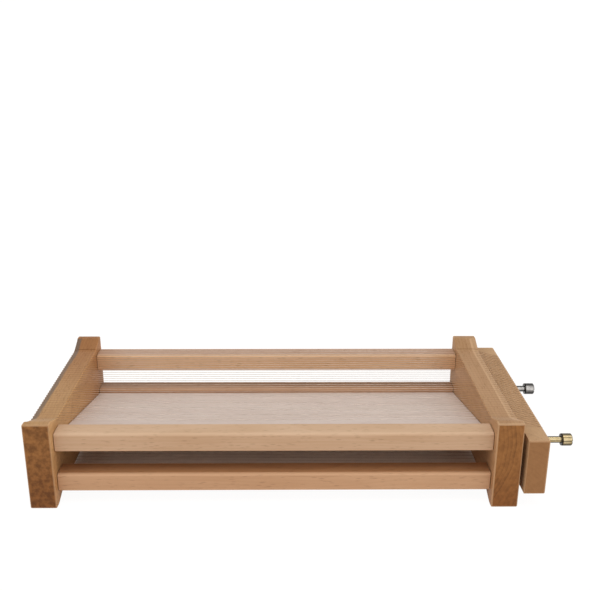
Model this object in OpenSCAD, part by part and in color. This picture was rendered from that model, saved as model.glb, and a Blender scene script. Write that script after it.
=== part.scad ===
// Double-sided pasta guitar. A beech frame carries two fields of steel wire, wide on top
// and fine underneath, over a board that slopes from the front to the back window.
// Two screws push a loose bar away from the right end plate and pull the wires tight.
// The part rests on its four feet: X runs along the wires, Y to the back, Z up.

/* [End plates] */
// Length over the outer faces of the two end plates
frame_l = 450; // [350:1:550]
// Thickness of an end plate
plate_t = 24.5; // [18:0.5:30]
// Depth of an end plate, front to back
plate_d = 214; // [180:1:260]
// Height of an end plate
plate_h = 86; // [76:0.5:110]
// How far the dished edge lies below the horns, and above the feet
dish_drop = 7.2; // [4:0.1:11]
// Flat length of a horn or a foot
horn_flat = 8; // [6:0.5:14]
// Length of the slope from a horn down to the dish
dish_run = 19; // [12:0.5:26]
// Radius where the slope meets its neighbours
dish_blend = 12; // [4:0.5:14]
// Width of the bevel outside a dished edge, where the wires turn down
string_bevel = 6.3; // [3:0.1:9]
// Rounding of an end plate's upright edges
plate_round = 1.5; // [0.5:0.1:3]

/* [Rails] */
// Front-to-back width of a rail
rail_w = 20.5; // [14:0.5:22]
// Height of a rail
rail_h = 18.5; // [14:0.5:21]
// Rounding of a rail's long edges
rail_round = 2.5; // [1:0.1:4]
// How far a front rail stands back from the front faces of the end plates
rail_inset = 8; // [4:0.5:12]
// How far a back rail stands back from the back faces of the end plates
back_rail_inset = 5; // [2:0.5:12]
// How far a rail lies below the horns, or above the feet
rail_drop = 13.2; // [12.8:0.1:18]
// Diameter of the dowel in each rail end
dowel_d = 6; // [4:0.5:8]
// How far a dowel reaches into the plate and into the rail
dowel_reach = 13; // [8:0.5:14]
// Glue space beyond each end of a dowel
dowel_glue = 0.5; // [0.2:0.1:1]

/* [Sloping board] */
// Thickness of the board
board_t = 4; // [3:0.5:6]
// How far the board's edges go into the rails
groove_depth = 4.5; // [3:0.5:6]

/* [Strings] */
// Diameter of the steel wire
string_d = 0.6; // [0.4:0.05:0.7]
// Spacing of the wires on top
top_pitch = 5; // [4:0.1:7]
// Spacing of the wires underneath
bottom_pitch = 3; // [2.9:0.1:3.8]
// Distance from the plates' front and back faces to the outermost wires
field_margin = 24.5; // [22:0.5:40]
// Depth of the saw cuts that the wires lie in
kerf_depth = 1; // [0.8:0.1:2]
// Width of the saw cuts
kerf_w = 0.8; // [0.75:0.05:1.2]

/* [Hitch pins] */
// Shank diameter of a hitch pin
pin_d = 2; // [1.4:0.1:2]
// Head diameter of a hitch pin
pin_head_d = 3.4; // [2.6:0.1:4]
// Head thickness of a hitch pin
pin_head_t = 0.8; // [0.5:0.1:1.2]
// How far a hitch pin stands out of the wood, with its head
pin_proud = 2.6; // [2.2:0.1:5]
// How deep a hitch pin goes into the wood
pin_depth = 8; // [6:0.5:9]
// Distance of the left pins from the plate's dished edges
plate_pin_drop = 14; // [9:0.5:20]
// Distance of the right pins from the bar's top and bottom edges
bar_pin_drop = 9; // [7:0.5:12]

/* [Tension bar] */
// Thickness of the bar
bar_t = 19.5; // [18:0.5:28]
// Height of the bar
bar_h = 55; // [48:0.5:62]
// Length of the bar
bar_l = 219; // [200:1:260]
// Space between the bar and the right end plate
bar_gap = 4; // [3.6:0.1:8]
// Rounding of the bar's long edges
bar_round = 1.5; // [0.6:0.1:3]

/* [Tension screws] */
// Thread diameter of the tension screws
screw_d = 6; // [5:0.5:8]
// Length of a screw under its head
screw_l = 53; // [50:0.5:70]
// Distance between the two screws
screw_spacing = 114; // [80:1:140]
// Head diameter of a screw
head_d = 12; // [10:0.5:14]
// Head length of a screw
head_l = 11.5; // [8:0.5:14]
// Width of the groove behind the head's face
head_groove = 1; // [0.6:0.1:1.6]
// Width of the driver slot in the head
slot_w = 1.6; // [1:0.1:2.4]
// Depth of the driver slot
slot_depth = 2.4; // [1:0.1:3.5]
// How deep the front screw's tip sits in the end plate
front_seat = 1.5; // [1:0.1:8]
// How deep the back screw's tip sits in the end plate
back_seat = 6; // [1:0.1:8]
// Diameter of the steel disc that takes the push of a screw
disc_d = 10; // [9:0.5:14]
// Thickness of that disc
disc_t = 1.5; // [1:0.1:3]
// Barrel diameter of the threaded insert in the bar
insert_d = 10; // [9.5:0.5:12]
// Length of the insert with its flange
insert_l = 13; // [8:0.5:16]
// Flange diameter of the insert
flange_d = 16; // [14:0.5:20]
// Flange thickness of the insert
flange_t = 1.5; // [1:0.1:2.5]

/* [Fits] */
// Play between pieces that are fixed to each other
fixed_fit = 0.05; // [0.02:0.01:0.1]
// Play between a screw and its thread
thread_fit = 0.05; // [0.02:0.01:0.1]
// Gap between pieces that move past each other
moving_gap = 0.3; // [0.2:0.05:0.5]

/* [Hidden] */
$fn = 48;
wire_sides = 24;
arc_steps = 5;
past = 1;

inner_l = frame_l - 2 * plate_t;
wire_r = string_d / 2;
wire_off = wire_r + fixed_fit;

// The dished edges, and the slopes up to the horns
dish_y = horn_flat + dish_run;
dish_z = plate_h - dish_drop;
slope_angle = atan2(dish_drop, dish_run);
slope_l = norm([dish_run, dish_drop]);

// The two string fields, and the floor of the saw cuts that they lie on
floor_z = dish_z - kerf_depth;
top_z = floor_z + wire_off;
top_count = even_count(top_pitch);
bottom_count = even_count(bottom_pitch);

// The rails' centre lines, and the board's slope from the front top to the back bottom one
rail_y = rail_inset + rail_w / 2;
rail_z = plate_h - rail_drop - rail_h / 2;
rails_apart = back_y(rail_y) - rail_y;
board_angle = atan2(2 * rail_z - plate_h, rails_apart);
board_reach = rails_apart - rail_w + 2 * groove_depth;
dowel_y = rail_inset + (rail_w - groove_depth) / 2;

// The bar and its screws, all on the plates' middle height
bar_x = frame_l + bar_gap;
bar_outer_x = bar_x + bar_t;
bar_top = plate_h / 2 + bar_h / 2;
bar_front_y = plate_d / 2 - bar_l / 2;
front_screw_y = plate_d / 2 - screw_spacing / 2;
back_screw_y = plate_d / 2 + screw_spacing / 2;
shank_hole_d = screw_d + 2 * moving_gap;

// The way down from the bevel's upper edge to the bar's round edge, which the wires touch on
// a tangent. The bevel falls at the same angle.
edge_r = bar_round + wire_off;
edge_x = bar_outer_x - bar_round - (frame_l - string_bevel);
edge_z = bar_top - bar_round - floor_z;
edge_far = norm([edge_x, edge_z]);
fall = -atan2(edge_z, edge_x) - asin(bar_round / edge_far);
bevel_drop = string_bevel * tan(fall);

// The whole part's ends, for an origin under its middle
low_x = -pin_proud;
high_x = frame_l - min(front_seat, back_seat) + fixed_fit + screw_l + head_l;

// Where the back rails have what lies at y on the front ones
function back_y(y) = plate_d + rail_inset - back_rail_inset - y;

// Wires come in pairs, because each left pin turns one wire into the next
function even_count(pitch) = 2 * floor(((plate_d - 2 * field_margin) / pitch + 1) / 2 + 0.001);

function string_y(i, count, pitch) = plate_d / 2 + (i - (count - 1) / 2) * pitch;

// Middle of the pair of wires that a left pin turns, and of the pair that a bar pin turns
function left_pin_y(k, count, pitch) = string_y(2 * k + 0.5, count, pitch);
function bar_pin_y(k, count, pitch) = string_y(2 * k - 0.5, count, pitch);

// How far a pin's centre lies beyond the centre of the turn that hangs on it
function pin_lead(pitch) = pitch / 2 - wire_off - pin_d / 2;

function unit(v) = v / norm(v);

// Points of the arc of radius r that softens the corner b between a and c
function corner_arc(a, b, c, r) =
    let (u = unit(a - b), v = unit(c - b), half = acos(u * v) / 2)
    let (centre = b + unit(u + v) * r / sin(half))
    let (from = b + u * r / tan(half) - centre, to = b + v * r / tan(half) - centre)
    let (start = atan2(from.y, from.x), turn = atan2(to.y, to.x) - start)
    let (sweep = turn > 180 ? turn - 360 : turn < -180 ? turn + 360 : turn)
    [for (i = [0:arc_steps])
        centre + r * [cos(start + sweep * i / arc_steps), sin(start + sweep * i / arc_steps)]];

// An outline with each corner softened by its own radius
function softened(points, radii) =
    let (n = len(points))
    [for (i = [0:n - 1])
        each corner_arc(points[(i + n - 1) % n], points[i], points[(i + 1) % n], radii[i])];

function box_outline(w, h) = [[0, 0], [w, 0], [w, h], [0, h]];

// Side view of an end plate: horns, feet and the two dished edges
function plate_outline() =
    let (far = plate_d)
    let (points = [[0, 0], [horn_flat, 0], [dish_y, dish_drop], [far - dish_y, dish_drop],
        [far - horn_flat, 0], [far, 0], [far, plate_h], [far - horn_flat, plate_h],
        [far - dish_y, dish_z], [dish_y, dish_z], [horn_flat, plate_h], [0, plate_h]])
    let (r = plate_round, d = dish_blend)
    softened(points, [r, d, d, d, d, r, r, d, d, d, d, r]);

// Moves what is measured from the left plate's outer front bottom corner into the part's frame
module placed() {
    translate([-(low_x + high_x) / 2, -plate_d / 2, 0])
        children();
}

// Repeats what is made for the top field upside down, for the field underneath
module underneath() {
    translate([0, 0, plate_h])
        mirror([0, 0, 1])
            children();
}

// A straight rod along X
module rod_x(d, l) {
    rotate([0, 90, 0])
        cylinder(d = d, h = l);
}

// A row of strings, from the one plate's bevel to the other's
module string_row(count, pitch) {
    for (i = [0:count - 1])
        translate([string_bevel, string_y(i, count, pitch), top_z])
            rotate([0, 90, 0])
                cylinder(d = string_d, h = frame_l - 2 * string_bevel, $fn = wire_sides);
}

// The saw cuts for a row of strings: level across the left plate, then down its bevel
module kerf_row(count, pitch) {
    down = string_bevel / cos(fall) + past;
    for (i = [0:count - 1])
        translate([string_bevel, string_y(i, count, pitch) - kerf_w / 2, floor_z]) {
            translate([-past, 0, 0])
                cube([plate_t, kerf_w, plate_h]);
            rotate([0, -fall, 0])
                translate([-down, 0, 0])
                    cube([down, kerf_w, plate_h]);
        }
}

module front_and_back() {
    children();
    translate([0, plate_d, 0])
        mirror([0, 1, 0])
            children();
}

// Takes off the outer corner of the left plate's dished edge and of the slopes to its horns
module bevel_cut() {
    start = string_bevel - kerf_depth * tan(fall / 2);
    profile = [[start, 0], [start, past], [-past, past], [-past, -(start + past) * tan(fall)]];
    translate([0, plate_d - dish_y, dish_z])
        rotate([90, 0, 0])
            linear_extrude(plate_d - 2 * dish_y)
                polygon(profile);
    front_and_back()
        translate([0, dish_y, dish_z])
            rotate([-slope_angle, 0, 0])
                rotate([90, 0, 0])
                    linear_extrude(slope_l + horn_flat)
                        polygon(profile);
}

// The bores for the dowels, in the left plate with its inner face at X = 0
module dowel_bores() {
    depth = dowel_reach + dowel_glue;
    for (y = [dowel_y, back_y(dowel_y)], z = [rail_z, plate_h - rail_z])
        translate([-depth, y, z])
            rod_x(dowel_d + 2 * fixed_fit, depth + past);
}

module dowels() {
    for (y = [dowel_y, back_y(dowel_y)], z = [rail_z, plate_h - rail_z])
        translate([-dowel_reach, y, z])
            rod_x(dowel_d, 2 * dowel_reach);
}

// Wood of the left end plate with its bevels and the saw cuts of both fields, before it is
// drilled for its pins. The right one is the same in the mirror.
module plate_blank() {
    difference() {
        intersection() {
            rotate([90, 0, 90])
                linear_extrude(plate_t)
                    polygon(plate_outline());
            linear_extrude(plate_h)
                polygon(softened(box_outline(plate_t, plate_d), [for (i = [0:3]) plate_round]));
        }
        bevel_cut();
        underneath()
            bevel_cut();
        kerf_row(top_count, top_pitch);
        underneath()
            kerf_row(bottom_count, bottom_pitch);
        translate([plate_t, 0, 0])
            dowel_bores();
    }
}

// A row of pins or of their holes: heads point to +X and the wood's face is at X = 0
module pin() {
    translate([-pin_depth, 0, 0])
        rod_x(pin_d, pin_depth + pin_proud - pin_head_t);
    translate([pin_proud - pin_head_t, 0, 0])
        rod_x(pin_head_d, pin_head_t);
}

module pin_hole() {
    translate([-pin_depth - fixed_fit, 0, 0])
        rod_x(pin_d + 2 * fixed_fit, pin_depth + fixed_fit + past);
}

// Puts its children at each left pin, seen from the left plate's outer face
module at_left_pins(count, pitch) {
    for (k = [0:count / 2 - 1])
        translate([0, left_pin_y(k, count, pitch), dish_z - plate_pin_drop])
            mirror([1, 0, 0])
                children();
}

// Puts its children at each bar pin, on the bar's outer face
module at_bar_pins(count, pitch) {
    for (k = [0:count / 2])
        translate([bar_outer_x, bar_pin_y(k, count, pitch), bar_top - bar_pin_drop])
            children();
}

// A wire that hangs straight down from z = 0
module drop_wire(l) {
    translate([0, 0, -l])
        cylinder(d = string_d, h = l, $fn = wire_sides);
}

// A wire bent in the XZ plane about the origin, from angle a0 to angle a1
module wire_bend(r, a0, a1) {
    rotate([90, 0, 0])
        rotate([0, 0, a0])
            rotate_extrude(angle = a1 - a0)
                translate([r, 0])
                    circle(d = string_d, $fn = wire_sides);
}

// The half turn that joins two hanging wires a pitch apart, centred on the origin
module wire_turn(pitch) {
    rotate([0, 90, 0])
        rotate([0, 0, -90])
            rotate_extrude(angle = 180)
                translate([pitch / 2, 0])
                    circle(d = string_d, $fn = wire_sides);
}

// A pair of top wires that comes down the left plate's bevel and turns round its pin.
// Zero is the lower end of the saw cut's floor, and the wood's face looks to +X.
module left_loop(pitch) {
    leg = plate_pin_drop - kerf_depth - bevel_drop - pin_lead(pitch);
    bevel_l = string_bevel / cos(fall);
    for (side = [-1, 1])
        translate([0, side * pitch / 2, 0]) {
            translate([wire_off * sin(fall), 0, wire_off * cos(fall)])
                rotate([0, fall - 90, 0])
                    translate([0, 0, fixed_fit])
                        cylinder(d = string_d, h = bevel_l - 2 * fixed_fit, $fn = wire_sides);
            wire_bend(wire_off, 0, 90 - fall);
            translate([wire_off, 0, 0])
                drop_wire(leg);
        }
    translate([wire_off, 0, -leg])
        wire_turn(pitch);
}

module left_loops(count, pitch) {
    for (k = [0:count / 2 - 1])
        translate([0, left_pin_y(k, count, pitch), floor_z - bevel_drop])
            mirror([1, 0, 0])
                left_loop(pitch);
}

// One wire from the top of the right plate's bevel to the bar's outer face.
// Zero is the upper end of the saw cut's sloping floor.
module tail_wire(leg) {
    tangent_l = sqrt(edge_far * edge_far - bar_round * bar_round);
    translate([wire_off * sin(fall), 0, wire_off * cos(fall)])
        rotate([0, 90 + fall, 0])
            translate([0, 0, moving_gap])
                cylinder(d = string_d, h = tangent_l - moving_gap - fixed_fit, $fn = wire_sides);
    translate([edge_x, 0, edge_z]) {
        wire_bend(edge_r, 0, 90 - fall);
        translate([edge_r, 0, 0])
            drop_wire(leg);
    }
}

// The wires of the top field that end at the bar: pairs round the inner pins, and one single
// wire hooked on each of the two outer pins
module bar_tails(count, pitch) {
    leg = bar_pin_drop - bar_round - pin_lead(pitch);
    hook = leg / 2;
    for (k = [0:count / 2])
        translate([frame_l - string_bevel, bar_pin_y(k, count, pitch), floor_z]) {
            if (k > 0)
                translate([0, -pitch / 2, 0])
                    tail_wire(leg);
            else
                translate([edge_x + edge_r, -pitch / 2, edge_z - leg + hook])
                    drop_wire(hook);
            if (k < count / 2)
                translate([0, pitch / 2, 0])
                    tail_wire(leg);
            else
                translate([edge_x + edge_r, pitch / 2, edge_z - leg + hook])
                    drop_wire(hook);
            translate([edge_x + edge_r, 0, edge_z - leg])
                wire_turn(pitch);
        }
}

// The board's slab, grown on its faces and on its edges, for the board and for its grooves
module board_slab(length, grow) {
    thick = board_t + 2 * grow;
    wide = board_reach / cos(board_angle) + 2 * grow;
    translate([frame_l / 2, rail_y + rails_apart / 2, plate_h / 2])
        rotate([-board_angle, 0, 0])
            cube([length, wide, thick], center = true);
}

// A rail of the front pair, drilled for its dowels
module rail_blank() {
    difference() {
        translate([plate_t, rail_inset, rail_z - rail_h / 2])
            rotate([90, 0, 90])
                linear_extrude(inner_l)
                    polygon(softened(box_outline(rail_w, rail_h), [for (i = [0:3]) rail_round]));
        for (x = [plate_t - past, frame_l - plate_t - dowel_reach - dowel_glue])
            translate([x, dowel_y, rail_z])
                rod_x(dowel_d + 2 * fixed_fit, dowel_reach + dowel_glue + past);
    }
}

module to_back() {
    translate([0, back_y(0), 0])
        mirror([0, 1, 0])
            children();
}

// A tension screw along X with its tip at zero: a turned head with a groove and a driver slot
module screw() {
    shank_r = screw_d / 2;
    head_r = head_d / 2;
    ease = 0.8;
    collar = 1.2;
    difference() {
        rotate([0, 90, 0])
            rotate_extrude()
                polygon([[0, 0], [shank_r - ease, 0], [shank_r, ease], [shank_r, screw_l],
                    [head_r - ease / 2, screw_l], [head_r, screw_l + ease / 2],
                    [head_r, screw_l + collar], [head_r - head_groove / 2, screw_l + collar],
                    [head_r - head_groove / 2, screw_l + collar + head_groove],
                    [head_r, screw_l + collar + head_groove], [head_r, screw_l + head_l - ease],
                    [head_r - ease, screw_l + head_l], [0, screw_l + head_l]]);
        translate([screw_l + head_l - slot_depth, -head_d, -slot_w / 2])
            cube([slot_depth + past, 2 * head_d, slot_w]);
    }
}

// The threaded insert in the bar, with its flange let into the bar's inner face
module insert() {
    difference() {
        union() {
            rod_x(insert_d, insert_l);
            rod_x(flange_d, flange_t);
        }
        translate([-past, 0, 0])
            rod_x(screw_d + 2 * thread_fit, insert_l + 2 * past);
    }
}

module insert_seat() {
    translate([-past, 0, 0]) {
        rod_x(insert_d + 2 * fixed_fit, insert_l + fixed_fit + past);
        rod_x(flange_d + 2 * fixed_fit, flange_t + fixed_fit + past);
        rod_x(shank_hole_d, bar_t + 2 * past);
    }
}

module disc_seat(seat) {
    translate([-seat - disc_t - fixed_fit, 0, 0])
        rod_x(disc_d + 2 * fixed_fit, seat + disc_t + fixed_fit + past);
}

// The two beech end plates
module left_end_plate() {
    color("#b48c68")
        placed()
            difference() {
                plate_blank();
                at_left_pins(top_count, top_pitch)
                    pin_hole();
                underneath()
                    at_left_pins(bottom_count, bottom_pitch)
                        pin_hole();
            }
}

module right_end_plate() {
    color("#b48c68")
        placed()
            difference() {
                translate([frame_l, 0, 0])
                    mirror([1, 0, 0])
                        plate_blank();
                translate([frame_l, front_screw_y, plate_h / 2])
                    disc_seat(front_seat);
                translate([frame_l, back_screw_y, plate_h / 2])
                    disc_seat(back_seat);
            }
}

// The four rails: the front top and back bottom ones are grooved for the board
module front_top_rail() {
    color("#d2ae88")
        placed()
            difference() {
                rail_blank();
                board_slab(frame_l, fixed_fit);
            }
}

module front_bottom_rail() {
    color("#d2a680")
        placed()
            underneath()
                rail_blank();
}

module back_top_rail() {
    color("#bf9c86")
        placed()
            to_back()
                rail_blank();
}

module back_bottom_rail() {
    color("#b0835f")
        placed()
            difference() {
                underneath()
                    to_back()
                        rail_blank();
                board_slab(frame_l, fixed_fit);
            }
}

// The sloping board, held by its long edges
module slide_board() {
    color("#c6b4a6")
        placed()
            board_slab(inner_l - 2 * fixed_fit, 0);
}

// Dowels that join the rails to the plates
module left_rail_dowels() {
    color("#caa880")
        placed()
            translate([plate_t, 0, 0])
                dowels();
}

module right_rail_dowels() {
    color("#caa880")
        placed()
            translate([frame_l - plate_t, 0, 0])
                dowels();
}

// The straight wires between the plates' bevels
module top_strings() {
    color("#c9ccce")
        placed()
            string_row(top_count, top_pitch);
}

module bottom_strings() {
    color("#c9ccce")
        placed()
            underneath()
                string_row(bottom_count, bottom_pitch);
}

// The same wires where they come down the left plate and turn round its pins
module left_top_loops() {
    color("#c9ccce")
        placed()
            left_loops(top_count, top_pitch);
}

module left_bottom_loops() {
    color("#c9ccce")
        placed()
            underneath()
                left_loops(bottom_count, bottom_pitch);
}

// The same wires from the right plate to the pins of the bar
module bar_top_tails() {
    color("#c9ccce")
        placed()
            bar_tails(top_count, top_pitch);
}

module bar_bottom_tails() {
    color("#c9ccce")
        placed()
            underneath()
                bar_tails(bottom_count, bottom_pitch);
}

// Pins that hold the wires, in the left plate and in the bar
module left_top_pins() {
    color("#a9abad")
        placed()
            at_left_pins(top_count, top_pitch)
                pin();
}

module left_bottom_pins() {
    color("#a9abad")
        placed()
            underneath()
                at_left_pins(bottom_count, bottom_pitch)
                    pin();
}

module bar_top_pins() {
    color("#a9abad")
        placed()
            at_bar_pins(top_count, top_pitch)
                pin();
}

module bar_bottom_pins() {
    color("#a9abad")
        placed()
            underneath()
                at_bar_pins(bottom_count, bottom_pitch)
                    pin();
}

// The loose bar that the screws push outwards
module tension_bar() {
    outline = softened(box_outline(bar_t, bar_h), [for (i = [0:3]) bar_round]);
    color("#b9895c")
        placed()
            difference() {
                translate([bar_x, bar_front_y + bar_l, bar_top - bar_h])
                    rotate([90, 0, 0])
                        linear_extrude(bar_l)
                            polygon(outline);
                for (y = [front_screw_y, back_screw_y])
                    translate([bar_x, y, plate_h / 2])
                        insert_seat();
                at_bar_pins(top_count, top_pitch)
                    pin_hole();
                underneath()
                    at_bar_pins(bottom_count, bottom_pitch)
                        pin_hole();
            }
}

// The tension screws, their inserts in the bar and the discs that they push on
module front_tension_screw() {
    color("#b79a5c")
        placed()
            translate([frame_l - front_seat + fixed_fit, front_screw_y, plate_h / 2])
                screw();
}

module back_tension_screw() {
    color("#a8a8a6")
        placed()
            translate([frame_l - back_seat + fixed_fit, back_screw_y, plate_h / 2])
                screw();
}

module front_screw_insert() {
    color("#9c9a94")
        placed()
            translate([bar_x, front_screw_y, plate_h / 2])
                insert();
}

module back_screw_insert() {
    color("#9c9a94")
        placed()
            translate([bar_x, back_screw_y, plate_h / 2])
                insert();
}

module front_thrust_disc() {
    color("#8f9194")
        placed()
            translate([frame_l - front_seat - disc_t, front_screw_y, plate_h / 2])
                rod_x(disc_d, disc_t);
}

module back_thrust_disc() {
    color("#8f9194")
        placed()
            translate([frame_l - back_seat - disc_t, back_screw_y, plate_h / 2])
                rod_x(disc_d, disc_t);
}

left_end_plate();
right_end_plate();
front_top_rail();
front_bottom_rail();
back_top_rail();
back_bottom_rail();
slide_board();
left_rail_dowels();
right_rail_dowels();
top_strings();
bottom_strings();
left_top_loops();
left_bottom_loops();
bar_top_tails();
bar_bottom_tails();
left_top_pins();
left_bottom_pins();
bar_top_pins();
bar_bottom_pins();
tension_bar();
front_tension_screw();
back_tension_screw();
front_screw_insert();
back_screw_insert();
front_thrust_disc();
back_thrust_disc();
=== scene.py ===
import math

import bmesh
import bpy
from mathutils import Matrix, Vector
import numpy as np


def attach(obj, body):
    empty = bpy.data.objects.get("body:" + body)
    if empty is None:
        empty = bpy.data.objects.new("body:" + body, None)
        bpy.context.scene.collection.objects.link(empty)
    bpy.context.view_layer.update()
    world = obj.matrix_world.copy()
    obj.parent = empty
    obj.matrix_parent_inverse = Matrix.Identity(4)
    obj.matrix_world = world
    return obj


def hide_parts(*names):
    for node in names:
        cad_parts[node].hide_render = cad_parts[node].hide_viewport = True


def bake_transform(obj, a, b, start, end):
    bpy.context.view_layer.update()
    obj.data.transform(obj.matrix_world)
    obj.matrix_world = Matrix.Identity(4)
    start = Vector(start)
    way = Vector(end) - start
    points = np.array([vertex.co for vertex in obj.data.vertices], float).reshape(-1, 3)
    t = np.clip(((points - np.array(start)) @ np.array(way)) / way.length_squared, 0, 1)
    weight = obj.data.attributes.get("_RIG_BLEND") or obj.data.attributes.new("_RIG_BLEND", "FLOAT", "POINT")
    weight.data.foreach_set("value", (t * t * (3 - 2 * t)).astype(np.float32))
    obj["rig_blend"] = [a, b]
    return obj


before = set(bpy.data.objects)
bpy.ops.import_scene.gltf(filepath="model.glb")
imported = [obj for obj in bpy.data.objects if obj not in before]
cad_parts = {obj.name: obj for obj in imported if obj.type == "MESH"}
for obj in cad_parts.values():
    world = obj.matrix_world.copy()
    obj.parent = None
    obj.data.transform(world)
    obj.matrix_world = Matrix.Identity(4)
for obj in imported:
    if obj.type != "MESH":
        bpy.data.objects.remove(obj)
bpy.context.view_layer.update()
scene = bpy.context.scene


# White table, broad soft light from above and the camera in front of the guitar.
# The table lights up white around the guitar and keeps the shadow under its board.
white_level = 1.06
room_light = 0.4
table_size = 4
table_drop = 0.0003
table_glow = 0.9
# Painted light: the table's matte colour is warmed, so that its shadow under the board looks lit by light
# bounced off the wood.
warm_bounce_tint = (0.97, 0.86, 0.78, 1)
shadow_shift = 0.0302
shadow_edge_x = (0.2, 0.235)
shadow_edge_y = (0.03, 0.06)


def tone(red, green, blue):
    parts = [c / 255 for c in (red, green, blue)]
    return [c / 12.92 if c <= 0.04045 else ((c + 0.055) / 1.055) ** 2.4 for c in parts] + [1.0]


def node(tree, kind, **values):
    made = tree.nodes.new("ShaderNode" + kind)
    for name, value in values.items():
        setattr(made, name, value)
    return made


def feed(tree, value, socket):
    if isinstance(value, bpy.types.NodeSocket):
        tree.links.new(value, socket)
    else:
        socket.default_value = value


def math_node(tree, operation, *values):
    made = node(tree, "Math", operation=operation)
    for value, socket in zip(values, made.inputs):
        feed(tree, value, socket)
    return made.outputs[0]


def ramp(tree, value, low, high, top=1.0):
    made = node(tree, "MapRange", interpolation_type="SMOOTHSTEP")
    feed(tree, value, made.inputs["Value"])
    made.inputs["From Min"].default_value = low
    made.inputs["From Max"].default_value = high
    made.inputs["To Max"].default_value = top
    return made.outputs["Result"]


def seen_directly(tree):
    rays = node(tree, "LightPath").outputs
    seen = math_node(tree, "ADD", rays["Is Camera Ray"], rays["Is Glossy Ray"])
    seen = math_node(tree, "ADD", seen, rays["Is Transmission Ray"])
    return math_node(tree, "MINIMUM", seen, 1.0)


def new_material(name):
    material = bpy.data.materials.new(name)
    material.use_nodes = True
    return material, material.node_tree


def as_object(name, bm):
    mesh = bpy.data.meshes.new(name)
    bm.to_mesh(mesh)
    bm.free()
    made = bpy.data.objects.new(name, mesh)
    scene.collection.objects.link(made)
    return made


world = bpy.data.worlds.new("white_room")
world.use_nodes = True
scene.world = world
tree = world.node_tree
backdrop = tree.nodes["Background"]
backdrop.inputs["Color"].default_value = (1, 1, 1, 1)
lift = math_node(tree, "MULTIPLY", seen_directly(tree), white_level - room_light)
feed(tree, math_node(tree, "ADD", lift, room_light), backdrop.inputs["Strength"])

bm = bmesh.new()
bmesh.ops.create_grid(bm, x_segments=1, y_segments=1, size=table_size)
table = as_object("table", bm)
table.location.z = -table_drop
material, tree = new_material("white_table")
tree.nodes.remove(tree.nodes["Principled BSDF"])
matte = node(tree, "BsdfDiffuse")
matte.inputs["Color"].default_value = warm_bounce_tint
glow = node(tree, "Emission")
glow.inputs["Strength"].default_value = white_level
apart = node(tree, "SeparateXYZ")
feed(tree, node(tree, "TexCoord").outputs["Object"], apart.inputs[0])
across = math_node(tree, "ABSOLUTE", math_node(tree, "ADD", apart.outputs["X"], shadow_shift))
along = math_node(tree, "ABSOLUTE", apart.outputs["Y"])
outside = math_node(
    tree, "MAXIMUM",
    ramp(tree, across, *shadow_edge_x, table_glow), ramp(tree, along, *shadow_edge_y, table_glow),
)
share = math_node(tree, "MULTIPLY", seen_directly(tree), outside)
both = node(tree, "MixShader")
for value, socket in zip((share, matte.outputs[0], glow.outputs[0]), both.inputs):
    feed(tree, value, socket)
feed(tree, both.outputs[0], tree.nodes["Material Output"].inputs["Surface"])
table.data.materials.append(material)

for name, strength, spread, toward in (
    ("overhead_light", 1.15, 36, (0.0, -0.26, 0.966)),
    ("right_light", 0.75, 50, (0.8, -0.24, 0.55)),
    ("left_light", 0.65, 50, (-0.8, -0.24, 0.55)),
):
    lamp = bpy.data.lights.new(name, "SUN")
    lamp.energy = strength
    lamp.angle = math.radians(spread)
    holder = bpy.data.objects.new(name, lamp)
    holder.rotation_euler = Vector(toward).to_track_quat("Z", "Y").to_euler()
    scene.collection.objects.link(holder)

eye = (-0.01834, -0.759022, 0.431052)
pan, tilt, roll = (math.radians(a) for a in (-0.57, 71.096, 0.138))
camera = bpy.data.cameras.new("photo_camera")
camera.lens = 49.816
camera.sensor_width = 36
viewer = bpy.data.objects.new("photo_camera", camera)
viewer.matrix_world = (
    Matrix.Translation(eye)
    @ Matrix.Rotation(pan, 4, "Z")
    @ Matrix.Rotation(tilt, 4, "X")
    @ Matrix.Rotation(roll, 4, "Z")
)
scene.collection.objects.link(viewer)
scene.camera = viewer
scene.view_settings.view_transform = "Standard"


# The two end plates: planks of steamed beech stood on edge, with the grain from front to back.
# Their dished edges are bevelled outside, where the wires turn down, and sawn for each wire.
# Glued dowels hold them to the rails. Sizes are in millimetres, the reach of shades in metres.
plate_t = 24.5
plate_d = 214
plate_h = 86
frame_l = 450
horn_flat = 8
horn_foot = 27
dish_depth = 7.2
dish_round = 2.2
tip_round = 1.5
edge_round = 1.2
ridge = 6.174
bevel_start = 0.9
bevel_end = 5
# Painted shade on the left plate's outer bevel: a dark grey-brown tone from these distances off the ends,
# out to a ragged line across the bevel.
bevel_shade_front = 20
bevel_shade_back = 7
bevel_shade_edge = (-0.2436, -0.2478)
bevel_shade_tone = (102, 87, 74)
wear_and_highlight_end = 6
crest_end = 8.5
touch = 0.01
flat_angle = 35
bend_x = 6.3
fall = math.radians(14.371)
cut_floor = 78.45
cut_top = 82
kerf = 0.42
disc_hole_r = 5.05
middle_x = 255.225
middle_y = plate_d / 2
middle_z = plate_h / 2
front_screw_y = 50
back_screw_y = 164
fields = (("top", 34, 5, True), ("bottom", 56, 3, False))


def mm_to_frame(bm):
    to_middle = Matrix.Translation((-middle_x, -middle_y, 0))
    bmesh.ops.transform(bm, matrix=Matrix.Scale(0.001, 4) @ to_middle, verts=bm.verts)


def prism(bm, corners, offset):
    base = bm.faces.new([bm.verts.new(c) for c in corners])
    grown = bmesh.ops.extrude_face_region(bm, geom=[base])["geom"]
    moved = [g for g in grown if isinstance(g, bmesh.types.BMVert)]
    bmesh.ops.translate(bm, vec=offset, verts=moved)
    bmesh.ops.recalc_face_normals(bm, faces=bm.faces)


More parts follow.
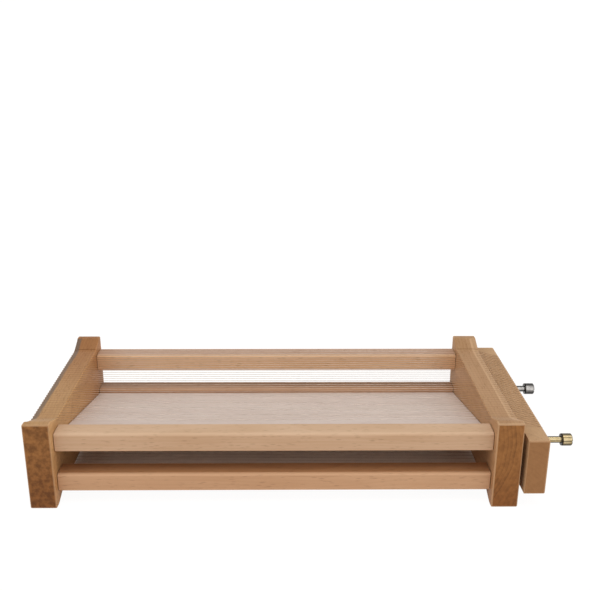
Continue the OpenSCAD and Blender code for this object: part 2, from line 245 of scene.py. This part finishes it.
def lathe(bm, profile, place, steps):
    before = set(bm.verts)
    verts = [bm.verts.new((x, 0, r)) for x, r in profile]
    edges = [bm.edges.new(pair) for pair in zip(verts, verts[1:])]
    bmesh.ops.spin(
        bm, geom=verts + edges, cent=(0, 0, 0), axis=(1, 0, 0), angle=math.tau, steps=steps,
        use_merge=True,
    )
    turned = [v for v in bm.verts if v not in before]
    bmesh.ops.translate(bm, vec=place, verts=turned)
    bmesh.ops.remove_doubles(bm, verts=turned, dist=0.001)
    bmesh.ops.recalc_face_normals(bm, faces=bm.faces)


# Eased edges are flagged, and the beech paints them in its paler edge tone: partly wear, partly a painted
# highlight where a rounded edge catches the light.
def ease(bm, edges, width, segments, light=1.0):
    if not bm.faces.layers.float.get("wear_and_highlight"):
        bm.faces.layers.float.new("wear_and_highlight")
    made = bmesh.ops.bevel(
        bm, geom=edges, offset=width, offset_type="OFFSET", segments=segments, profile=0.5,
        affect="EDGES", material=-1, clamp_overlap=True,
    )
    wear_and_highlight = bm.faces.layers.float["wear_and_highlight"]
    for face in made["faces"]:
        face[wear_and_highlight] = light


def sharp_edges(bm, degrees):
    limit = math.radians(degrees)
    return [e for e in bm.edges if e.is_manifold and e.calc_face_angle() > limit]


def crossing_edges(bm):
    return [e for e in bm.edges if abs(e.verts[0].co.x - e.verts[1].co.x) > 1]


def make_piece(name, bm, material, slot, body, *nodes):
    piece = as_object(name, bm)
    piece.data.materials.append(material)
    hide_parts(*nodes)
    if body:
        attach(piece, body)
    return piece


def cut_out(piece, bm):
    cutter = as_object("cutter", bm)
    cutter_mesh = cutter.data
    cut = piece.modifiers.new("cut", "BOOLEAN")
    cut.object = cutter
    cut.operation = "DIFFERENCE"
    cut.solver = "EXACT"
    shaped = piece.evaluated_get(bpy.context.evaluated_depsgraph_get())
    solid = bpy.data.meshes.new_from_object(shaped)
    piece.modifiers.remove(cut)
    piece.data = solid
    bpy.data.objects.remove(cutter)
    bpy.data.meshes.remove(cutter_mesh)


def smooth(piece, degrees):
    piece.data.shade_smooth()
    piece.data.set_sharp_from_angle(angle=math.radians(degrees))
    piece.modifiers.new("flat_faces", "WEIGHTED_NORMAL").keep_sharp = True


def vector_math(tree, operation, *values):
    made = node(tree, "VectorMath", operation=operation)
    for value, socket in zip(values, made.inputs):
        feed(tree, value, socket)
    return made.outputs


def scaled(tree, vector, scale):
    return vector_math(tree, "MULTIPLY", vector, scale)["Vector"]


def added(tree, total, value, weight):
    return math_node(tree, "ADD", total, math_node(tree, "MULTIPLY", value, weight))


def noise(tree, vector, detail, roughness):
    made = node(tree, "TexNoise")
    feed(tree, vector, made.inputs["Vector"])
    made.inputs["Scale"].default_value = 1
    made.inputs["Detail"].default_value = detail
    made.inputs["Roughness"].default_value = roughness
    return made.outputs


def blended(tree, share, first, second, blend="MIX"):
    made = node(tree, "Mix", data_type="RGBA", blend_type=blend)
    for place, value in ((0, share), (6, first), (7, second)):
        feed(tree, value, made.inputs[place])
    return made.outputs[2]


rings_per_metre = 290
figure = bpy.data.node_groups.new("beech_figure", "ShaderNodeTree")
for name in ("Position", "Normal"):
    figure.interface.new_socket(name, in_out="INPUT", socket_type="NodeSocketVector")
for name in ("Growth", "Fibre", "Fleck", "End", "Patch", "Cloud", "Height"):
    figure.interface.new_socket(name, in_out="OUTPUT", socket_type="NodeSocketFloat")
given = figure.nodes.new("NodeGroupInput")
result = figure.nodes.new("NodeGroupOutput")
position = given.outputs["Position"]
wander = noise(figure, scaled(figure, position, (5, 14, 14)), 2, 0.5)["Color"]
shift = vector_math(figure, "SUBTRACT", wander, (0.5, 0.5, 0.5))["Vector"]
shift = scaled(figure, shift, (0, 0.022, 0.022))
bent = vector_math(figure, "ADD", shift, position)["Vector"]
radius = vector_math(figure, "LENGTH", scaled(figure, bent, (0, 1, 1)))["Value"]
rings = math_node(figure, "MULTIPLY", radius, rings_per_metre)
late = math_node(figure, "POWER", math_node(figure, "FRACT", rings), 2.5)
year = node(figure, "TexWhiteNoise", noise_dimensions="1D")
feed(figure, math_node(figure, "FLOOR", rings), year.inputs["W"])
strong = math_node(figure, "ADD", year.outputs["Value"], 0.35)
strong = math_node(figure, "MULTIPLY", strong, 0.75)
growth = math_node(figure, "MULTIPLY", late, strong)
fibre = noise(figure, scaled(figure, position, (16, 520, 520)), 3, 0.6)["Fac"]
cells = node(figure, "TexVoronoi", feature="F1")
feed(figure, scaled(figure, position, (110, 620, 620)), cells.inputs["Vector"])
cells.inputs["Scale"].default_value = 1
sparse = noise(figure, scaled(figure, position, (60, 210, 210)), 2, 0.5)["Fac"]
sparse = ramp(figure, sparse, 0.42, 0.6)
spot = math_node(figure, "SUBTRACT", 1.0, ramp(figure, cells.outputs["Distance"], 0.12, 0.42))
fleck = math_node(figure, "MULTIPLY", spot, sparse)
apart = node(figure, "SeparateXYZ")
feed(figure, given.outputs["Normal"], apart.inputs[0])
end = ramp(figure, math_node(figure, "ABSOLUTE", apart.outputs["X"]), 0.6, 0.86)
patch = noise(figure, scaled(figure, position, (9, 45, 45)), 3, 0.55)["Fac"]
cloud = noise(figure, scaled(figure, position, (20, 170, 170)), 5, 0.65)["Fac"]
height = added(figure, math_node(figure, "MULTIPLY", fibre, 0.7), growth, 0.25)
height = math_node(figure, "SUBTRACT", height, math_node(figure, "MULTIPLY", fleck, 0.35))
for name, value in (
    ("Growth", growth), ("Fibre", fibre), ("Fleck", fleck), ("End", end), ("Patch", patch),
    ("Cloud", cloud), ("Height", height),
):
    feed(figure, value, result.inputs[name])


def dress(tree, colour, wear, wear_range, rough_range, relief, strength, depth):
    shader = tree.nodes["Principled BSDF"]
    feed(tree, colour, shader.inputs["Base Color"])
    rough = node(tree, "MapRange")
    feed(tree, wear, rough.inputs["Value"])
    limits = (*wear_range, *rough_range)
    for name, value in zip(("From Min", "From Max", "To Min", "To Max"), limits):
        rough.inputs[name].default_value = value
    feed(tree, rough.outputs["Result"], shader.inputs["Roughness"])
    bump = node(tree, "Bump")
    bump.inputs["Strength"].default_value = strength
    bump.inputs["Distance"].default_value = depth
    feed(tree, relief, bump.inputs["Height"])
    feed(tree, bump.outputs["Normal"], shader.inputs["Normal"])


def beech(
    name, pale, deep, fleck, end, edge, turn, pith, gloss=0.5, cloudy=0.8, ringed=0.25, shades=(),
):
    material, tree = new_material(name)
    tree.nodes["Principled BSDF"].inputs["Specular IOR Level"].default_value = 0.2
    coords = node(tree, "TexCoord").outputs
    placed = node(tree, "Mapping", vector_type="POINT")
    facing = node(tree, "Mapping", vector_type="VECTOR")
    for mapping in (placed, facing):
        mapping.inputs["Rotation"].default_value = [math.radians(a) for a in turn]
    placed.inputs["Location"].default_value = pith
    feed(tree, coords["Object"], placed.inputs["Vector"])
    feed(tree, coords["Normal"], facing.inputs["Vector"])
    wood = node(tree, "Group", node_tree=figure)
    feed(tree, placed.outputs[0], wood.inputs["Position"])
    feed(tree, facing.outputs[0], wood.inputs["Normal"])
    out = wood.outputs

    share = math_node(tree, "MULTIPLY", out["Growth"], 0.5)
    share = added(tree, share, ramp(tree, out["Fibre"], 0.3, 0.7), 0.25)
    share = added(tree, share, ramp(tree, out["Patch"], 0.3, 0.7), 0.45)
    face = blended(tree, math_node(tree, "MINIMUM", share, 1.0), tone(*pale), tone(*deep))
    face = blended(tree, math_node(tree, "MULTIPLY", out["Fleck"], 0.6), face, tone(*fleck))
    mottle = math_node(tree, "MULTIPLY", ramp(tree, out["Cloud"], 0.32, 0.68), cloudy)
    mottle = added(tree, mottle, out["Growth"], ringed)
    dark_end = (end[0] * 0.72, end[1] * 0.68, end[2] * 0.64)
    cross = blended(tree, mottle, tone(*end), tone(*dark_end))
    face = blended(tree, out["End"], face, cross)

    # Each shade multiplies the colour by a tone over a range along one axis: painted light and shade on the
    # plates and rails, and plain gradients.
    spread = node(tree, "SeparateXYZ")
    feed(tree, coords["Object"], spread.inputs[0])
    for axis, low, high, amount, colour in shades:
        reach = math_node(tree, "MULTIPLY", ramp(tree, spread.outputs[axis], low, high), amount)
        face = blended(tree, reach, face, tone(*colour), "MULTIPLY")
    # Painted shade: flagged bevel faces are darkened to a grey-brown tone, out to a ragged line.
    shaded_bevel = node(tree, "Attribute", attribute_name="shaded_bevel").outputs["Fac"]
    ragged = added(tree, spread.outputs["X"], out["Cloud"], 0.008)
    bevel_shade_mask = math_node(tree, "MULTIPLY", shaded_bevel, ramp(tree, ragged, *bevel_shade_edge))
    face = blended(tree, math_node(tree, "MULTIPLY", bevel_shade_mask, 0.85), face, tone(*bevel_shade_tone))
    # Paler eased edges: partly wear, partly a painted highlight.
    wear_and_highlight = node(tree, "Attribute", attribute_name="wear_and_highlight").outputs["Fac"]
    face = blended(tree, math_node(tree, "MULTIPLY", wear_and_highlight, 0.45), face, tone(*edge))
    height = out["Height"]
    dress(tree, face, height, (0, 1), (gloss + 0.14, gloss - 0.06), height, 0.25, 0.0002)
    return material


# Both plates: the base tones are set paler and the X shade darkens all but the thin skin of the inner face,
# a painted light on the inner faces. The Y shade makes the left plate darker towards the back, and the Z
# shades make both darker towards the feet.
left_wood = beech(
    "left_plate_beech",
    (214, 171, 120), (187, 142, 92), (155, 114, 73), (188, 132, 75), (192, 154, 116),
    turn=(0, 0, -90), pith=(0, 0.055, -0.06), cloudy=0.95, ringed=0.1,
    shades=(
        ("X", -0.231, -0.2318, 1.0, (217, 213, 211)),
        ("Y", -0.06, 0.105, 0.95, (220, 195, 175)),
        ("Z", 0.075, 0.0, 1.0, (222, 210, 200)),
    ),
)
right_wood = beech(
    "right_plate_beech",
    (195, 153, 113), (170, 128, 87), (146, 104, 67), (178, 122, 68), (212, 176, 138),
    turn=(0, 0, -90), pith=(0, 0.055, -0.06), cloudy=0.5, ringed=0.6,
    shades=(
        ("X", 0.1705, 0.1713, 1.0, (232, 232, 231)),
        ("Z", 0.06, 0.0, 0.9, (226, 214, 204)),
    ),
)


def on_bevel(face):
    return abs(face.normal.z) > 0.5 and all(v.co.x < ridge + touch for v in face.verts)


def plate_body(drop, bevel_shade_share, bevel_light, crest_width, crest_light):
    bm = bmesh.new()
    low_edge = [
        (0, 0), (horn_flat, 0), (horn_foot, dish_depth),
        (plate_d - horn_foot, dish_depth), (plate_d - horn_flat, 0), (plate_d, 0),
    ]
    top_edge = [(y, plate_h - z) for y, z in reversed(low_edge)]
    prism(bm, [(0, y, z) for y, z in low_edge + top_edge], (plate_t, 0, 0))
    dish = [e for e in crossing_edges(bm) if 1 < e.verts[0].co.y < plate_d - 1]
    bmesh.ops.bevel(
        bm, geom=dish, offset=dish_round, offset_type="OFFSET", segments=5, profile=0.5,
        affect="EDGES", material=-1,
    )
    tips = [e for e in crossing_edges(bm) if not 1 < e.verts[0].co.y < plate_d - 1]
    ease(bm, tips, tip_round, 3)
    bmesh.ops.bisect_plane(
        bm, geom=bm.verts[:] + bm.edges[:] + bm.faces[:], plane_co=(ridge, 0, 0),
        plane_no=(1, 0, 0),
    )
    bm.normal_update()
    moves = []
    for v in bm.verts:
        depth = min(v.co.z, plate_h - v.co.z)
        if v.co.x < touch and bevel_end < v.co.y < plate_d - bevel_end:
            outward = sum((f.normal for f in v.link_faces if abs(f.normal.x) < 0.5), Vector())
            outward.x = 0
            moves.append((v, outward.normalized() * -drop * min(1, depth / bevel_start)))
    for v, step in moves:
        v.co += step
    bm.normal_update()
    # Painted shade: the bevel faces away from the ends are flagged for the dark bevel tone.
    shaded_bevel = bm.faces.layers.float.new("shaded_bevel")
    for face in bm.faces:
        if on_bevel(face) and all(bevel_shade_front < v.co.y < plate_d - bevel_shade_back for v in face.verts):
            face[shaded_bevel] = bevel_shade_share
    ease(bm, sharp_edges(bm, flat_angle), edge_round, 3)
    # Away from the ends only the bevel keeps a paler tone, bevel_light: on the right plate a painted
    # highlight on the bevel that faces the light.
    wear_and_highlight = bm.faces.layers.float["wear_and_highlight"]
    for face in bm.faces:
        if wear_and_highlight_end < face.calc_center_median().y < plate_d - wear_and_highlight_end:
            face[wear_and_highlight] = bevel_light if on_bevel(face) else 0.0
    # The crest is eased and painted paler by crest_light, a painted highlight along the ridge.
    on_ridge = {
        v for v in bm.verts
        if abs(v.co.x - ridge) < touch and crest_end < v.co.y < plate_d - crest_end
    }
    crest = [e for e in bm.edges if on_ridge.issuperset(e.verts)]
    ease(bm, crest, crest_width, 2, crest_light)
    return bm


def saw_cuts(bm, count, pitch, over):
    inside = plate_t + 1.5
    outside_z = cut_floor - (bend_x + 1) * math.tan(fall)
    shape = [
        (inside, cut_floor), (bend_x, cut_floor), (-1, outside_z), (-1, cut_top), (inside, cut_top),
    ]
    if not over:
        shape = [(x, plate_h - z) for x, z in shape]
    for i in range(count):
        y = middle_y + (i - (count - 1) / 2) * pitch
        prism(bm, [(x, y - kerf / 2, z) for x, z in shape], (0, kerf, 0))


# The right plate's bevel and crest are painted paler, a painted highlight; the left plate's bevel is painted
# darker, a painted shade.
for side, wood, drop, bevel_shade_share, bevel_light, crest_width, crest_light in (
    ("left", left_wood, 1.58, 1.0, 0.0, 0.3, 0.0),
    ("right", right_wood, 0.9, 0.0, 0.6, 1.2, 1.0),
):
    bm = plate_body(drop, bevel_shade_share, bevel_light, crest_width, crest_light)
    cuts = bmesh.new()
    for name, count, pitch, over in fields:
        saw_cuts(cuts, count, pitch, over)
    if side == "right":
        for part in (bm, cuts):
            bmesh.ops.scale(part, vec=(-1, 1, 1), verts=part.verts)
            bmesh.ops.translate(part, vec=(frame_l, 0, 0), verts=part.verts)
            bmesh.ops.recalc_face_normals(part, faces=part.faces)
        for y, depth in ((front_screw_y, 3.05), (back_screw_y, 7.55)):
            disc_hole = [(-depth, 0), (-depth, disc_hole_r), (2, disc_hole_r), (2, 0)]
            lathe(cuts, disc_hole, (frame_l, y, middle_z), 32)
    mm_to_frame(bm)
    mm_to_frame(cuts)
    plate = make_piece(side + "_plate", bm, wood, "beech_plate", "frame", side + "_end_plate")
    cut_out(plate, cuts)
    smooth(plate, flat_angle)


# Four square rails of pale beech with rounded long edges, dowelled and glued between the plates.
# The front top one and the back bottom one are grooved for the board.
rail_w = 20.5
rail_h = 18.5
rail_gap = 0.4
rail_round = 2.5
rail_end_round = 0.8
rail_front_y = 18.25
rail_back_y = 198.75
rail_top_z = 63.55
rail_bottom_z = 22.45
board_w = 173.33
board_t = 4
board_fit = 0.1
board_y = 108.5
board_slope = math.radians(-12.827)


def block(size, place, slope=0.0):
    bm = bmesh.new()
    bmesh.ops.create_cube(bm, size=1)
    bmesh.ops.scale(bm, vec=size, verts=bm.verts)
    if slope:
        bmesh.ops.rotate(bm, matrix=Matrix.Rotation(slope, 3, "X"), verts=bm.verts)
    bmesh.ops.translate(bm, vec=place, verts=bm.verts)
    return bm


def board_slab(length, fit):
    size = (length, board_w + fit, board_t + fit)
    return block(size, (frame_l / 2, board_y, middle_z), board_slope)


for name, y, z, pale, deep, pith, shades in (
    (
        "front_top_rail", rail_front_y, rail_top_z,
        (207, 175, 145), (191, 155, 121), (0.3, 0.085, -0.03), (),
    ),
    # Painted shade: the Z shade darkens the front bottom rail's top face, under the front top rail.
    (
        "front_bottom_rail", rail_front_y, rail_bottom_z,
        (206, 166, 131), (188, 145, 109), (0.2, 0.06, -0.09),
        (("Z", 0.0302, 0.0315, 1.0, (212, 192, 170)),),
    ),
    # Painted light: the back top rail's tones are set paler and its Y shade darkens all but the front face,
    # so the front face looks lit.
    (
        "back_top_rail", rail_back_y, rail_top_z,
        (227, 186, 145), (210, 164, 119), (0.1, -0.03, -0.11),
        (("Y", 0.0815, 0.083, 1.0, (206, 208, 229)),),
    ),
    (
        "back_bottom_rail", rail_back_y, rail_bottom_z,
        (184, 142, 107), (166, 122, 86), (0.4, -0.14, -0.08), (),
    ),
):
    darker = [c * 0.86 for c in deep]
    paler = [c * 1.04 for c in pale]
    wood = beech(
        name + "_beech", pale, deep, darker, darker, paler,
        turn=(0, 0, 0), pith=pith, shades=shades,
    )
    bm = block((frame_l - 2 * plate_t - 2 * rail_gap, rail_w, rail_h), (frame_l / 2, y, z))
    # The rounded long edges are painted paler, partly wear and partly a painted highlight.
    ease(bm, crossing_edges(bm), rail_round, 5)
    ease(bm, sharp_edges(bm, 60), rail_end_round, 2)
    mm_to_frame(bm)
    rail = make_piece(name + "_wood", bm, wood, "beech_rail", "frame", name)
    if name in ("front_top_rail", "back_bottom_rail"):
        groove = board_slab(frame_l, board_fit)
        mm_to_frame(groove)
        cut_out(rail, groove)
    smooth(rail, flat_angle)


# The sloping board that the cut pasta slides down: thin plywood with a pale rosy face veneer,
# pushed into the grooves of two rails.
board_l = 399.6
board_round = 0.3
material, tree = new_material("rosy_plywood")
tree.nodes["Principled BSDF"].inputs["Specular IOR Level"].default_value = 0.2
coords = node(tree, "TexCoord").outputs
veneer = node(tree, "Mapping", vector_type="POINT")
veneer.inputs["Location"].default_value = (0.4, 0.02, -0.35)
feed(tree, coords["Object"], veneer.inputs["Vector"])
wood = node(tree, "Group", node_tree=figure)
feed(tree, veneer.outputs[0], wood.inputs["Position"])
feed(tree, coords["Normal"], wood.inputs["Normal"])
share = math_node(tree, "MULTIPLY", ramp(tree, wood.outputs["Patch"], 0.3, 0.7), 0.5)
share = added(tree, share, ramp(tree, wood.outputs["Fibre"], 0.3, 0.7), 0.3)
share = added(tree, share, wood.outputs["Growth"], 0.25)
face = blended(tree, share, tone(217, 202, 193), tone(205, 187, 177))
flecked = math_node(tree, "MULTIPLY", wood.outputs["Fleck"], 0.4)
face = blended(tree, flecked, face, tone(168, 142, 124))
height = wood.outputs["Height"]
dress(tree, face, height, (0, 1), (0.68, 0.5), height, 0.2, 0.0002)
bm = board_slab(board_l, 0)
ease(bm, sharp_edges(bm, 60), board_round, 2)
mm_to_frame(bm)
board = make_piece("plywood_board", bm, material, "plywood_board", "frame", "slide_board")
smooth(board, flat_angle)


# Eight turned beech dowels, one in each rail end, which pin the rails to the plates.
# They are glued into both and out of sight.
def coat(name, material):
    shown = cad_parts[name].data.materials
    shown.clear()
    shown.append(material)


dowel_wood = beech(
    "dowel_beech",
    (212, 178, 140), (184, 146, 108), (150, 112, 80), (166, 124, 86), (214, 182, 146),
    turn=(0, 0, 0), pith=(0, 0.02, 0.03), gloss=0.56,
)
for name in ("left_rail_dowels", "right_rail_dowels"):
    coat(name, dowel_wood)


# Hitch pins: round-headed steel tacks in the left plate's outer face and in the bar's outer face.
# The wires turn round their shanks, under their heads.
pin_r = 1
left_pin_z = 64.8
bar_pin_z = 61.5
bar_outer = 473.5
# Tone of the painted shade on the inner face of the screw heads.
painted_shade_tone = (50, 42, 28)
pin_profile = [
    (-3, 0), (-3, pin_r), (1.8, pin_r), (1.85, 1.6), (2.1, 1.7), (2.4, 1.35), (2.6, 0),
]


def metal(name, bright, dull, shine, streaks, bump_depth, reflection_bands=(), shades=()):
    material, tree = new_material(name)
    tree.nodes["Principled BSDF"].inputs["Metallic"].default_value = 1
    place = node(tree, "TexCoord").outputs["Object"]
    worked = noise(tree, scaled(tree, place, streaks), 3, 0.6)["Fac"]
    stain = noise(tree, scaled(tree, place, (260, 260, 260)), 2, 0.5)["Fac"]
    share = added(tree, math_node(tree, "MULTIPLY", worked, 0.6), stain, 0.6)
    colour = blended(tree, ramp(tree, share, 0.4, 0.8), tone(*bright), tone(*dull))
    # Painted shade: flagged faces are darkened to a dark brown.
    painted_shade = node(tree, "Attribute", attribute_name="painted_shade").outputs["Fac"]
    colour = blended(tree, math_node(tree, "MULTIPLY", painted_shade, 0.9), colour, tone(*painted_shade_tone))
    # Shades multiply the colour along one axis; on the wire they paint a reflection of the wood near the
    # plates.
    if shades:
        spread = node(tree, "SeparateXYZ")
        feed(tree, place, spread.inputs[0])
        for axis, low, high, tint in shades:
            reach = ramp(tree, spread.outputs[axis], low, high)
            colour = blended(tree, reach, colour, tone(*tint), "MULTIPLY")
    # Painted reflections: bands of light and dark by facing angle, standing in for a studio mirrored in a
    # polished cylinder.
    if reflection_bands:
        facing = node(tree, "LayerWeight")
        facing.inputs["Blend"].default_value = 0.5
        reflection_ramp = node(tree, "ValToRGB")
        while len(reflection_ramp.color_ramp.elements) < len(reflection_bands):
            reflection_ramp.color_ramp.elements.new(0.5)
        for stop, (spot, level) in zip(reflection_ramp.color_ramp.elements, reflection_bands):
            stop.position = spot
            stop.color = (level, level, level, 1)
        feed(tree, facing.outputs["Facing"], reflection_ramp.inputs["Fac"])
        colour = blended(tree, 1.0, colour, reflection_ramp.outputs["Color"], "MULTIPLY")
    dress(tree, colour, share, (0.35, 0.85), (shine, shine + 0.18), worked, 0.3, bump_depth)
    return material


pin_steel = metal("pin_steel", (190, 190, 190), (140, 138, 134), 0.25, (900, 900, 900), 0.00005)
for side, body, face_x, out, extra, pin_z in (
    ("left", "frame", 0, -1, 0, left_pin_z),
    ("bar", "tension_bar", bar_outer, 1, 1, bar_pin_z),
):
    for field, wires, pitch, over in fields:
        name = side + "_" + field + "_pins"
        count = wires // 2 + extra
        z = pin_z if over else plate_h - pin_z
        bm = bmesh.new()
        for k in range(count):
            y = middle_y + (k - (count - 1) / 2) * 2 * pitch
            lathe(bm, pin_profile, (0, y, z), 10)
        bmesh.ops.scale(bm, vec=(out, 1, 1), verts=bm.verts)
        bmesh.ops.translate(bm, vec=(face_x, 0, 0), verts=bm.verts)
        bmesh.ops.recalc_face_normals(bm, faces=bm.faces)
        mm_to_frame(bm)
        pins = make_piece(name + "_steel", bm, pin_steel, "pin_steel", body, name)
        smooth(pins, 50)


# The tension bar: a loose beech bar beside the right plate, drilled for the two screws.
# Its grain dips towards the front, which shows as slanting streaks on top.
bar_t = 19.5
bar_l = 219
bar_h = 55
bar_inner = bar_outer - bar_t
bar_round = 1.5
bar_inner_round = 0.5
screw_hole = [
    (-1, 0), (-1, 8.05), (1.55, 8.05), (1.55, 5.05),
    (13.05, 5.05), (13.05, 3.3), (21, 3.3), (21, 0),
]
bar_wood = beech(
    "bar_beech",
    (190, 153, 114), (168, 131, 93), (160, 123, 86), (160, 116, 75), (198, 160, 124),
    turn=(20, 0, -90), pith=(0.05, 0.1872, 0.0337), cloudy=0.2, ringed=0.15,
)
bm = block((bar_t, bar_l, bar_h), (bar_outer - bar_t / 2, middle_y, middle_z))
# All eased edges of the bar are painted paler, partly wear and partly a painted highlight.
outer = [e for e in bm.edges if max(v.co.x for v in e.verts) > bar_inner + 1]
ease(bm, outer, bar_round, 4)
inner = [e for e in bm.edges if all(v.co.x < bar_inner + touch for v in e.verts)]
ease(bm, inner, bar_inner_round, 2)
holes = bmesh.new()
for y in (front_screw_y, back_screw_y):
    lathe(holes, screw_hole, (bar_inner, y, middle_z), 40)
mm_to_frame(bm)
mm_to_frame(holes)
bar = make_piece("tension_bar_wood", bm, bar_wood, "beech_bar", "tension_bar", "tension_bar")
cut_out(bar, holes)
smooth(bar, flat_angle)


# Threaded inserts in the bar and discs under the screws' tips, in plated steel: hardly seen,
# they keep the thread and the push of the screws out of the wood.
plated = metal("zinc_plate", (176, 176, 172), (128, 126, 122), 0.32, (500, 500, 500), 0.00005)
for name in ("front_screw_insert", "back_screw_insert", "front_thrust_disc", "back_thrust_disc"):
    coat(name, plated)


# Two turned tension screws with a rolled thread and a polished cylinder head, one in brass and
# one nickel plated. They push against the right plate and draw the bar away from it.
front_tip_x = 448.55
back_tip_x = 444.05
screw_profile = [
    (0, 0), (0, 2.2), (0.8, 2.95), (2.2, 2.95), (2.5, 2.45), (27.6, 2.45), (28.4, 3.2), (53, 3.2),
    (53, 5.5), (53.08, 5.8), (53.2, 5.85), (53.3, 5.75), (53.33, 5.1), (53.95, 5.1),
    (54, 5.85), (54.15, 6), (62, 6), (62.6, 5.8), (63.15, 5.2), (63.3, 4.75), (63.3, 0),
]
# Painted shade: the inner face of each screw head, between these two distances, is painted dark.
painted_shade_from = 52.95
painted_shade_to = 53.98
thread_start = 1.3
thread_profile = [(0, 2.4), (0.5, 2.98), (1, 2.4)]
thread_turns = 26
turn_steps = 16
notch_size = (4, 14, 1.6)
notch_x = 63.9
# Painted reflections on the screw heads: levels by facing angle.
brass_reflection_bands = (
    (0, 1.0), (0.068, 1.0), (0.085, 0.3), (0.125, 0.3), (0.155, 0.8),
    (0.25, 0.65), (0.36, 0.18), (0.6, 0.1), (1, 0.25),
)
nickel_reflection_bands = (
    (0, 1.0), (0.066, 1.0), (0.09, 0.4), (0.18, 0.28), (0.28, 0.12), (0.6, 0.1), (1, 0.2),
)
screw_brass = metal(
    "polished_brass", (232, 212, 170), (204, 180, 130), 0.14, (1400, 60, 60), 0.00004, brass_reflection_bands,
)
screw_nickel = metal(
    "nickel_plate", (214, 210, 206), (176, 172, 168), 0.12, (1400, 60, 60), 0.00004, nickel_reflection_bands,
)
for side, tip, y, finish, slot in (
    ("front", front_tip_x, front_screw_y, screw_brass, "screw_brass"),
    ("back", back_tip_x, back_screw_y, screw_nickel, "screw_nickel"),
):
    bm = bmesh.new()
    lathe(bm, screw_profile, (0, 0, 0), 48)
    painted_shade = bm.faces.layers.float.new("painted_shade")
    for face in bm.faces:
        face[painted_shade] = 1.0 if painted_shade_from < face.calc_center_median().x < painted_shade_to else 0.0
    corners = [bm.verts.new((thread_start + x, 0, r)) for x, r in thread_profile]
    sides = [bm.edges.new((corners[i], corners[(i + 1) % 3])) for i in range(3)]
    bmesh.ops.spin(
        bm, geom=corners + sides, cent=(0, 0, 0), axis=(1, 0, 0), angle=math.tau * thread_turns,
        steps=thread_turns * turn_steps, dvec=(1 / turn_steps, 0, 0),
    )
    bmesh.ops.holes_fill(bm, edges=[e for e in bm.edges if e.is_boundary], sides=3)
    bmesh.ops.recalc_face_normals(bm, faces=bm.faces)
    notch = block(notch_size, (notch_x, 0, 0))
    for part in (bm, notch):
        bmesh.ops.translate(part, vec=(tip, y, middle_z), verts=part.verts)
        mm_to_frame(part)
    name = side + "_tension_screw"
    screw = make_piece(name + "_turned", bm, finish, slot, side + "_screw", name)
    cut_out(screw, notch)
    smooth(screw, flat_angle)


# The strings: one long drawn steel wire for each field, which runs to and fro between the pins of
# the left plate and those of the bar. It stretches a little as the bar moves.
wire_r = 0.22
wire_off = 0.18
edge_bite = 0.05
tail_l = 3
# Painted reflection: near each plate the wire is tinted brown, as if mirroring the wood.
wire_steel = metal(
    "drawn_wire", (203, 188, 175), (186, 172, 159), 0.55, (60, 1500, 1500), 0.00002,
    shades=(("X", -0.19, -0.222, (213, 184, 157)), ("X", 0.13, 0.162, (213, 184, 157))),
)


def bend(cx, cz, r, start, stop, steps):
    angles = [start + (stop - start) * i / steps for i in range(steps + 1)]
    return [(cx + r * math.cos(a), cz + r * math.sin(a)) for a in angles]


def half_turn(x, y, z, pitch):
    r = pitch / 2
    angles = [math.pi * i / 8 for i in range(1, 9)]
    return [(x, y + r - math.cos(a) * r, z - math.sin(a) * r) for a in angles]


up = math.pi / 2
bar_x = bar_outer + wire_off
bar_top = middle_z + bar_h / 2
outer_floor = cut_floor - bend_x * math.tan(fall)
to_left = (
    bend(bar_outer - bar_round, bar_top - bar_round, bar_round - edge_bite, 0, up - fall, 5)
    + bend(frame_l - bend_x, cut_floor, wire_off, up - fall, up, 2)
    + bend(bend_x, cut_floor, wire_off, up, up + fall, 2)
    + bend(0, outer_floor, wire_off, up + fall, 2 * up, 4)
)
for field, count, pitch, over in fields:
    lead = pitch / 2 - wire_off - pin_r
    left_turn = left_pin_z + lead
    bar_turn = bar_pin_z + lead
    path = [(bar_x, -pitch, bar_turn + tail_l), (bar_x, -pitch, bar_turn)]
    for i in range(count):
        if i % 2 == 0:
            path += half_turn(bar_x, (i - 1) * pitch, bar_turn, pitch)
            path += [(x, i * pitch, z) for x, z in to_left]
            path += [(-wire_off, i * pitch, left_turn)]
        else:
            path += half_turn(-wire_off, (i - 1) * pitch, left_turn, pitch)
            path += [(x, i * pitch, z) for x, z in reversed(to_left)]
            path += [(bar_x, i * pitch, bar_turn)]
    path += half_turn(bar_x, (count - 1) * pitch, bar_turn, pitch)
    path += [(bar_x, count * pitch, bar_turn + tail_l)]
    curve = bpy.data.curves.new(field + "_wire", "CURVE")
    curve.dimensions = "3D"
    curve.bevel_depth = wire_r / 1000
    curve.bevel_resolution = 1
    curve.use_fill_caps = True
    spline = curve.splines.new("POLY")
    spline.points.add(len(path) - 1)
    first_y = middle_y - (count - 1) / 2 * pitch
    for point, (x, y, z) in zip(spline.points, path):
        z = z if over else plate_h - z
        point.co = ((x - middle_x) / 1000, (y + first_y - middle_y) / 1000, z / 1000, 1)
    strung = bpy.data.objects.new(field + "_wire", curve)
    scene.collection.objects.link(strung)
    drawn = strung.evaluated_get(bpy.context.evaluated_depsgraph_get())
    mesh = bpy.data.meshes.new_from_object(drawn)
    bpy.data.objects.remove(strung)
    bpy.data.curves.remove(curve)
    bm = bmesh.new()
    bm.from_mesh(mesh)
    bmesh.ops.recalc_face_normals(bm, faces=bm.faces)
    wire = make_piece(
        field + "_string_wire", bm, wire_steel, "string_wire", None,
        field + "_strings", "left_" + field + "_loops", "bar_" + field + "_tails",
    )
    wire.data.shade_smooth()
    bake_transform(wire, "frame", "tension_bar", start=(0.188475, 0, 0.07), end=(0.216775, 0, 0.07))
